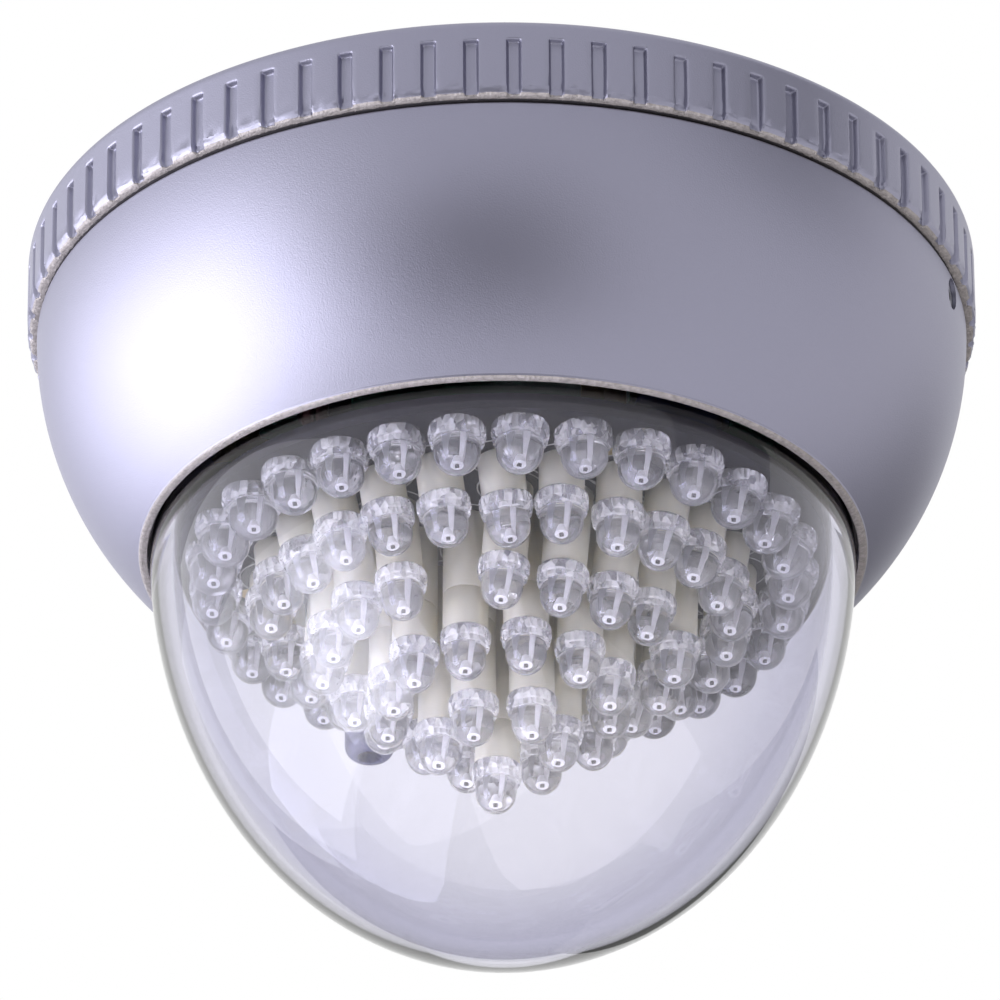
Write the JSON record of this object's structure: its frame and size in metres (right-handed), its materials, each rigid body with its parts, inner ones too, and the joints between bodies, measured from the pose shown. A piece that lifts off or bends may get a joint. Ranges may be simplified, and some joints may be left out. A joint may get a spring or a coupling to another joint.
{
  "type": "infrared illuminator",
  "caption": "Ceiling dome infrared illuminator: ribbed base, bulging cover and clear dome over a cone of diodes on stepped spacers.",
  "frame": {"origin": "centre of the base's flat ceiling face", "axes": "+Z points out of the ceiling face, up into the ceiling, so the dome hangs towards -Z; -Y is the side that the picture looks at from below; +X is to its right"},
  "size_m": [0.0998, 0.0998, 0.0795],
  "materials": {
    "silver_paint": "fine textured silver powder coat",
    "clear_dome": "clear polycarbonate, polished",
    "black_rubber": "matt",
    "grey_foam": "closed-cell foam",
    "steel_screw": "plated",
    "black_board": "dark solder resist",
    "green_board": "solder resist",
    "clear_lens": "clear epoxy",
    "white_nylon": "translucent white nylon",
    "tinned_lead": "tinned",
    "dark_hood": "satin",
    "sensor_cell": "resin coated",
    "brass_pillar": "nickel-free brass",
    "black_part": "moulded",
    "capacitor_sleeve": "shrink sleeve",
    "terminal_green": "moulded",
    "ferrite": "sintered",
    "resistor_body": "coated chip",
    "wire_sleeve": "insulated wire",
    "clamp_plastic": "moulded"
  },
  "bodies": {
    "root": {"base": "silver_paint", "ceiling_seal": "grey_foam", "cable_grommet": "black_rubber", "cover": "silver_paint", "cover_grub_screws": "steel_screw", "dome": "clear_dome", "dome_gasket": "black_rubber", "dome_clamp_ring": "clamp_plastic", "dome_clamp_screws": "steel_screw", "diode_board": "black_board", "diode_board_resistors": "resistor_body", "diodes_outer_ring": "clear_lens", "diodes_second_ring": "clear_lens", "diodes_third_ring": "clear_lens", "diodes_fourth_ring": "clear_lens", "diodes_inner_ring": "clear_lens", "diodes_centre": "clear_lens", "spacers_second_ring": "white_nylon", "spacers_third_ring": "white_nylon", "spacers_fourth_ring": "white_nylon", "spacers_inner_ring": "white_nylon", "spacers_centre": "white_nylon", "diode_leads": "tinned_lead", "sensor_hood": "dark_hood", "light_sensor": "sensor_cell", "pillar_screws": "steel_screw", "upper_pillars": "brass_pillar", "lower_pillars": "brass_pillar", "control_board": "green_board", "filter_capacitor": "capacitor_sleeve", "inductor": "ferrite", "sensor_relay": "black_part", "bridge_rectifier": "black_part", "current_regulator": "black_part", "supply_terminal": "terminal_green", "supply_terminal_screws": "steel_screw", "board_link_wires": "wire_sleeve"}
  },
  "joints": []
}
